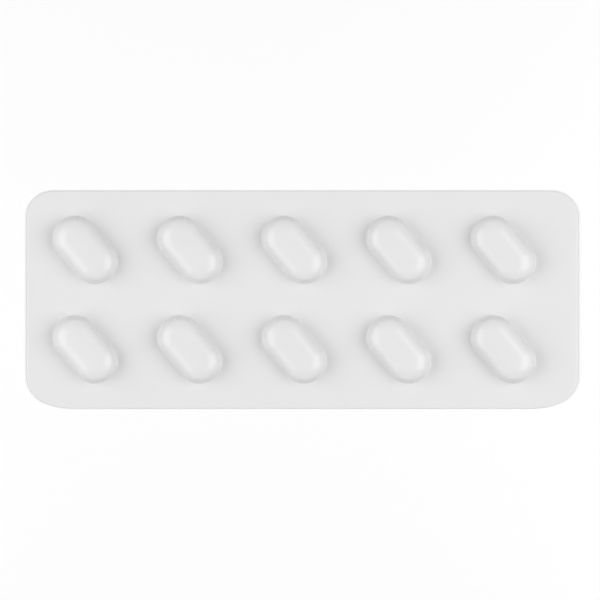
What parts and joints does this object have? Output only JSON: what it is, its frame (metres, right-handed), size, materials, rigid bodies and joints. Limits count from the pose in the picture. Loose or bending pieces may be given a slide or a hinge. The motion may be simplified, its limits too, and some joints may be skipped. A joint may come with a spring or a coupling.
{
  "type": "tablet blister pack",
  "caption": "Flat card of opaque white formed film with rounded corners and rows of slanted oblong tablet pockets, sealed across the back with foil.",
  "frame": {"origin": "middle of the card's outline, on the back of the foil", "axes": "+Z out of the pocket side, +X along the card towards the blank coding strip, +Y across the card towards the edge with the plain round corners"},
  "size_m": [0.095, 0.0376, 0.0037],
  "materials": {
    "formed_film": "opaque white thermoformed film, satin",
    "lidding_foil": "bright rolled foil, knurled by the sealing plate except under the pockets"
  },
  "bodies": {
    "root": {"blister_pack": "formed_film"}
  },
  "joints": []
}
